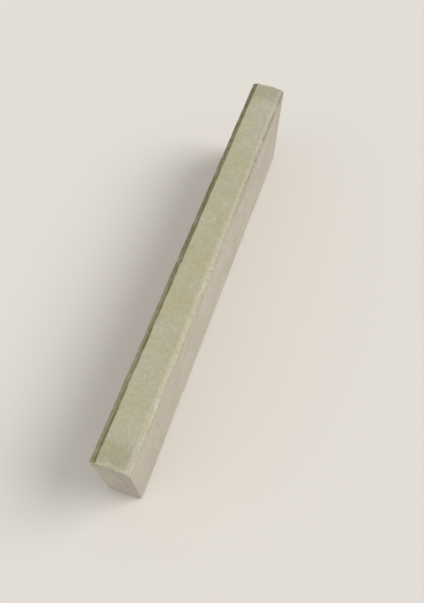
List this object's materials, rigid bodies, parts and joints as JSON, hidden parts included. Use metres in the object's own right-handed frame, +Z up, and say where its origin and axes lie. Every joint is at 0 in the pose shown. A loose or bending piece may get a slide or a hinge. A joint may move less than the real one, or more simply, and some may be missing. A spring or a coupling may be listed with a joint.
{
  "type": "concrete kerb stone",
  "caption": "Straight concrete kerb stone of upright oblong section with both top edges chamfered, bedded on edge to border paving.",
  "frame": {"origin": "centre of the bedding face, the face that the stone stands on", "axes": "+X across the stone towards the paving, +Y along the stone away from the viewer of the picture, +Z up"},
  "size_m": [0.08, 1, 0.25],
  "materials": {
    "concrete": "fine-grained vibrated concrete, weathered, with an olive film of algae on the top face"
  },
  "bodies": {
    "root": {"kerb_stone": "concrete"}
  },
  "joints": []
}
